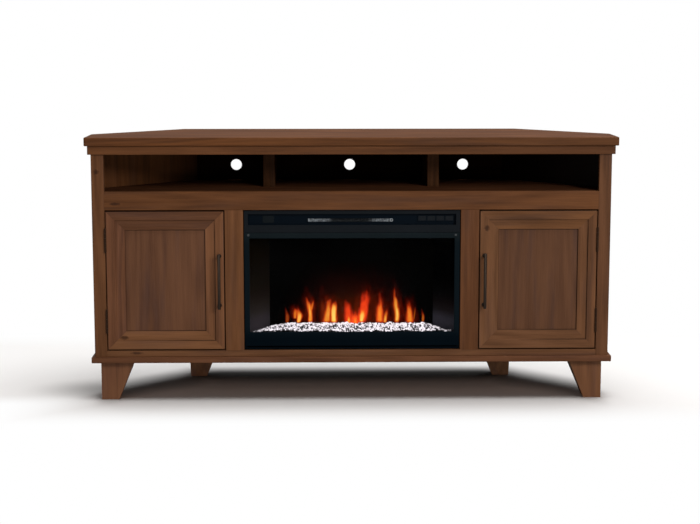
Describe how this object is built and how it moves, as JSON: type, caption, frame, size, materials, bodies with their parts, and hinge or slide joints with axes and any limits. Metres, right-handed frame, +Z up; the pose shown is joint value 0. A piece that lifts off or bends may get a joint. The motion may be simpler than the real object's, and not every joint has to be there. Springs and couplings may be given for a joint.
{
  "type": "fireplace tv stand",
  "caption": "Corner tv stand in dark brown wood with open media bays, an electric fireplace insert between two panelled doors with bar handles, and tapered feet.",
  "frame": {"origin": "on the floor, midway across the width and midway between the fronts of the door handles and the back edge of the top", "axes": "+X to the right of someone facing the stand, +Y from the front to the wall, +Z up"},
  "size_m": [1.702, 0.4648, 0.856],
  "materials": {
    "walnut_front": "satin",
    "walnut_top": "satin",
    "walnut_inside": "satin",
    "bronze": "satin",
    "black_sheet": "satin",
    "black_plastic": "matte",
    "grey_sheet": "satin",
    "bright_metal": "satin",
    "glass": "gloss",
    "crystal": "gloss"
  },
  "bodies": {
    "cabinet": {"top_slab": "walnut_top", "under_top": "walnut_front", "base_board": "walnut_front", "outer_stile_left": "walnut_front", "outer_stile_right": "walnut_front", "mid_stile_left": "walnut_front", "mid_stile_right": "walnut_front", "upper_rail": "walnut_front", "bottom_rail": "walnut_front", "side_panel_left": "walnut_front", "side_panel_right": "walnut_front", "diagonal_panel_left": "walnut_front", "diagonal_panel_right": "walnut_front", "back_panel": "walnut_inside", "media_shelf": "walnut_inside", "media_divider_left": "walnut_inside", "media_divider_right": "walnut_inside", "bay_partition_left": "walnut_inside", "bay_partition_right": "walnut_inside", "cupboard_shelf_left": "walnut_inside", "cupboard_shelf_right": "walnut_inside", "foot_front_left": "walnut_front", "foot_front_right": "walnut_front", "foot_rear_left": "walnut_front", "foot_rear_right": "walnut_front", "hinge_frame_leaf_left_lower": "bronze", "hinge_frame_leaf_left_upper": "bronze", "hinge_frame_leaf_right_lower": "bronze", "hinge_frame_leaf_right_upper": "bronze", "glass_frame": "black_sheet", "glass_pane": "glass", "heater_fascia": "black_sheet", "heater_grille": "bright_metal", "insert_housing": "black_sheet", "firebox_liner": "grey_sheet", "flame_screen": "black_plastic", "crystal_bed": "crystal", "heater_duct": "grey_sheet"},
    "left_door": {"left_door_latch_stile": "walnut_front", "left_door_hinge_stile": "walnut_front", "left_door_top_rail": "walnut_front", "left_door_bottom_rail": "walnut_front", "left_door_panel": "walnut_front", "left_door_handle": "bronze", "left_door_hinge_leaf_lower": "bronze", "left_door_hinge_leaf_upper": "bronze"},
    "right_door": {"right_door_latch_stile": "walnut_front", "right_door_hinge_stile": "walnut_front", "right_door_top_rail": "walnut_front", "right_door_bottom_rail": "walnut_front", "right_door_panel": "walnut_front", "right_door_handle": "bronze", "right_door_hinge_leaf_lower": "bronze", "right_door_hinge_leaf_upper": "bronze"},
    "key_1": {"push_key_1": "black_plastic"},
    "key_2": {"push_key_2": "black_plastic"},
    "key_3": {"push_key_3": "black_plastic"},
    "key_4": {"push_key_4": "black_plastic"},
    "spindle": {"flame_spindle": "bright_metal"},
    "blower": {"blower_wheel": "black_plastic"}
  },
  "joints": [
    {"name": "left_door_hinge", "type": "hinge", "parent": "cabinet", "child": "left_door", "pos_m": [-0.7905, -0.20422, 0.394], "axis": [0, 0, -1], "range_deg": [0, 165]},
    {"name": "right_door_hinge", "type": "hinge", "parent": "cabinet", "child": "right_door", "pos_m": [0.7905, -0.20422, 0.394], "axis": [0, 0, 1], "range_deg": [0, 165]},
    {"name": "key_1_press", "type": "slide", "parent": "cabinet", "child": "key_1", "axis": [0, 1, 0], "range_m": [0, 0.0012], "stiffness_N_per_m": 300},
    {"name": "key_2_press", "type": "slide", "parent": "cabinet", "child": "key_2", "axis": [0, 1, 0], "range_m": [0, 0.0012], "stiffness_N_per_m": 300},
    {"name": "key_3_press", "type": "slide", "parent": "cabinet", "child": "key_3", "axis": [0, 1, 0], "range_m": [0, 0.0012], "stiffness_N_per_m": 300},
    {"name": "key_4_press", "type": "slide", "parent": "cabinet", "child": "key_4", "axis": [0, 1, 0], "range_m": [0, 0.0012], "stiffness_N_per_m": 300},
    {"name": "spindle_turn", "type": "hinge", "parent": "cabinet", "child": "spindle", "pos_m": [0, -0.05133, 0.2355], "axis": [1, 0, 0], "continuous": true},
    {"name": "blower_turn", "type": "hinge", "parent": "cabinet", "child": "blower", "pos_m": [0, -0.11762, 0.5815], "axis": [1, 0, 0], "continuous": true}
  ]
}
